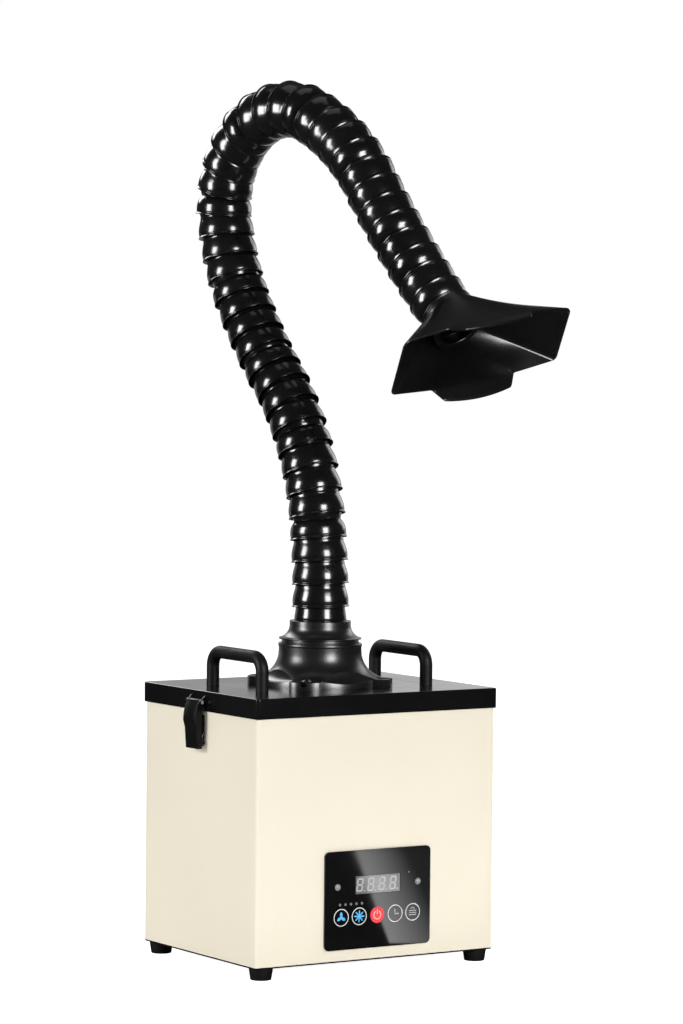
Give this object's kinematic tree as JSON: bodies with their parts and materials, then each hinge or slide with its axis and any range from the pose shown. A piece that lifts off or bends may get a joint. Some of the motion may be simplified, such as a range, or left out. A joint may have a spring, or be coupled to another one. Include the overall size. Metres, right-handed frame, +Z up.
{
  "type": "fume extractor",
  "caption": "Bench-top fume extractor with a cream steel cabinet, black lift-off lid with rod handles and side latches, a ball-and-socket arm and a flared hood.",
  "frame": {"origin": "centre of the four feet, on the bench", "axes": "+Z up, -Y towards the front with the control fascia, +X to the right seen from the front"},
  "size_m": [0.2958, 0.43, 0.857],
  "materials": {
    "cream_paint": "satin",
    "black_paint": "gloss",
    "handle_black": "satin",
    "arm_black": "gloss",
    "fascia_black": "gloss",
    "display_dark": "gloss",
    "rubber_black": "matt",
    "moulded_black": "satin",
    "stud_grey": "satin",
    "bright_steel": "satin",
    "zinc_steel": "satin",
    "cast_aluminium": "satin",
    "board_green": "satin",
    "pin_brass": "satin",
    "winding_copper": "satin",
    "seal_foam": "matt",
    "filter_white": "matt",
    "carbon_grey": "matt"
  },
  "bodies": {
    "cabinet": {"cabinet_shell": "cream_paint", "base_plate": "cream_paint", "rubber_feet": "rubber_black", "foot_screws": "bright_steel", "control_fascia": "fascia_black", "fascia_studs": "stud_grey", "display_module": "display_dark", "control_board": "board_green", "board_standoffs": "bright_steel", "power_inlet": "moulded_black", "inlet_pins": "pin_brass", "inlet_screws": "bright_steel", "switch_frame": "moulded_black", "exhaust_grille": "black_paint", "grille_screws": "bright_steel", "power_supply": "zinc_steel", "shelf_brackets": "zinc_steel", "filter_shelf": "zinc_steel", "filter_gasket": "seal_foam", "particle_filter": "filter_white", "carbon_filter": "carbon_grey", "prefilter_pad": "filter_white", "fan_inlet_ring": "moulded_black", "motor_base": "cast_aluminium", "motor_stator": "winding_copper", "motor_bearings": "bright_steel", "latch_strikes": "black_paint"},
    "rocker": {"switch_rocker": "moulded_black"},
    "rotor": {"rotor_cup": "zinc_steel", "fan_impeller": "moulded_black"},
    "lid": {"lid_pan": "black_paint", "lid_gasket": "seal_foam", "handle_left": "handle_black", "handle_right": "handle_black", "handle_screws": "bright_steel", "hose_flange": "arm_black", "flange_screws": "handle_black", "swivel_washer": "arm_black", "latch_brackets": "black_paint", "latch_pins": "bright_steel"},
    "left_latch": {"latch_lever_left": "moulded_black"},
    "right_latch": {"latch_lever_right": "moulded_black"},
    "collar": {"swivel_collar": "arm_black", "collar_retainer": "bright_steel"},
    "arm_01": {"hose_section_01": "arm_black"},
    "arm_02": {"hose_section_02": "arm_black"},
    "arm_03": {"hose_section_03": "arm_black"},
    "arm_04": {"hose_section_04": "arm_black"},
    "arm_05": {"hose_section_05": "arm_black"},
    "arm_06": {"hose_section_06": "arm_black"},
    "arm_07": {"hose_section_07": "arm_black"},
    "arm_08": {"hose_section_08": "arm_black"},
    "arm_09": {"hose_section_09": "arm_black"},
    "arm_10": {"hose_section_10": "arm_black"},
    "arm_11": {"hose_section_11": "arm_black"},
    "hood_end": {"hood": "arm_black"}
  },
  "joints": [
    {"name": "lid_lift", "type": "slide", "parent": "cabinet", "child": "lid", "axis": [0, 0, 1], "range_m": [0, 0.06]},
    {"name": "latch_left", "type": "hinge", "parent": "lid", "child": "left_latch", "pos_m": [-0.14095, 0, 0.2565], "axis": [0, 1, 0], "range_deg": [0, 101]},
    {"name": "latch_right", "type": "hinge", "parent": "lid", "child": "right_latch", "pos_m": [0.14095, 0, 0.2565], "axis": [0, -1, 0], "range_deg": [0, 101]},
    {"name": "power_rocker", "type": "hinge", "parent": "cabinet", "child": "rocker", "pos_m": [0.098, 0.107, 0.079], "axis": [1, 0, 0], "range_deg": [-14, 0]},
    {"name": "fan_spin", "type": "hinge", "parent": "cabinet", "child": "rotor", "pos_m": [0.022, 0.022, 0.05], "axis": [0, 0, 1], "continuous": true},
    {"name": "arm_swivel", "type": "hinge", "parent": "lid", "child": "collar", "pos_m": [0, 0, 0.31], "axis": [0, 0, 1], "continuous": true},
    {"name": "arm_01_pitch", "type": "hinge", "parent": "collar", "child": "arm_01", "pos_m": [0, 0, 0.3484], "axis": [0.9839, 0.1788, 0], "range_deg": [-10, 10]},
    {"name": "arm_02_yaw", "type": "hinge", "parent": "arm_01", "child": "arm_02", "pos_m": [-0.00124, 0.00682, 0.43647], "axis": [-0.175, 0.9631, -0.2045], "range_deg": [-10, 10]},
    {"name": "arm_03_pitch", "type": "hinge", "parent": "arm_02", "child": "arm_03", "pos_m": [-0.00629, 0.03459, 0.51987], "axis": [0.9839, 0.1788, 0], "range_deg": [-9, 10]},
    {"name": "arm_04_yaw", "type": "hinge", "parent": "arm_03", "child": "arm_04", "pos_m": [-0.01542, 0.08486, 0.59182], "axis": [-0.1468, 0.8079, -0.5707], "range_deg": [-10, 10]},
    {"name": "arm_05_pitch", "type": "hinge", "parent": "arm_04", "child": "arm_05", "pos_m": [-0.02346, 0.12908, 0.66774], "axis": [0.9839, 0.1788, 0], "range_deg": [-10, 9]},
    {"name": "arm_06_yaw", "type": "hinge", "parent": "arm_05", "child": "arm_06", "pos_m": [-0.02614, 0.14384, 0.75376], "axis": [-0.1701, 0.9357, 0.309], "range_deg": [-5, 5]},
    {"name": "arm_07_pitch", "type": "hinge", "parent": "arm_06", "child": "arm_07", "pos_m": [-0.01664, 0.09156, 0.82045], "axis": [0.9839, 0.1788, 0], "range_deg": [-12, 1]},
    {"name": "arm_08_yaw", "type": "hinge", "parent": "arm_07", "child": "arm_08", "pos_m": [-0.00142, 0.00781, 0.81546], "axis": [0.0889, -0.489, 0.8678], "range_deg": [-10, 10]},
    {"name": "arm_09_pitch", "type": "hinge", "parent": "arm_08", "child": "arm_09", "pos_m": [0.01084, -0.05967, 0.76062], "axis": [0.9839, 0.1788, 0], "range_deg": [-12, 8]},
    {"name": "arm_10_yaw", "type": "hinge", "parent": "arm_09", "child": "arm_10", "pos_m": [0.02066, -0.11368, 0.69136], "axis": [0.1341, -0.738, 0.6613], "range_deg": [-12, 12]},
    {"name": "arm_11_pitch", "type": "hinge", "parent": "arm_10", "child": "arm_11", "pos_m": [0.02595, -0.14278, 0.65851], "axis": [0.9839, 0.1788, 0], "range_deg": [-12, 12]},
    {"name": "hood_turn", "type": "hinge", "parent": "arm_11", "child": "hood_end", "pos_m": [0.03148, -0.1732, 0.62694], "axis": [0.1035, -0.8089, -0.5788], "range_deg": [-90, 90]}
  ],
  "couplings": [
    {"joint": "latch_left", "follows": "lid_lift", "rad_per_m": 29},
    {"joint": "latch_right", "follows": "lid_lift", "rad_per_m": 29}
  ]
}
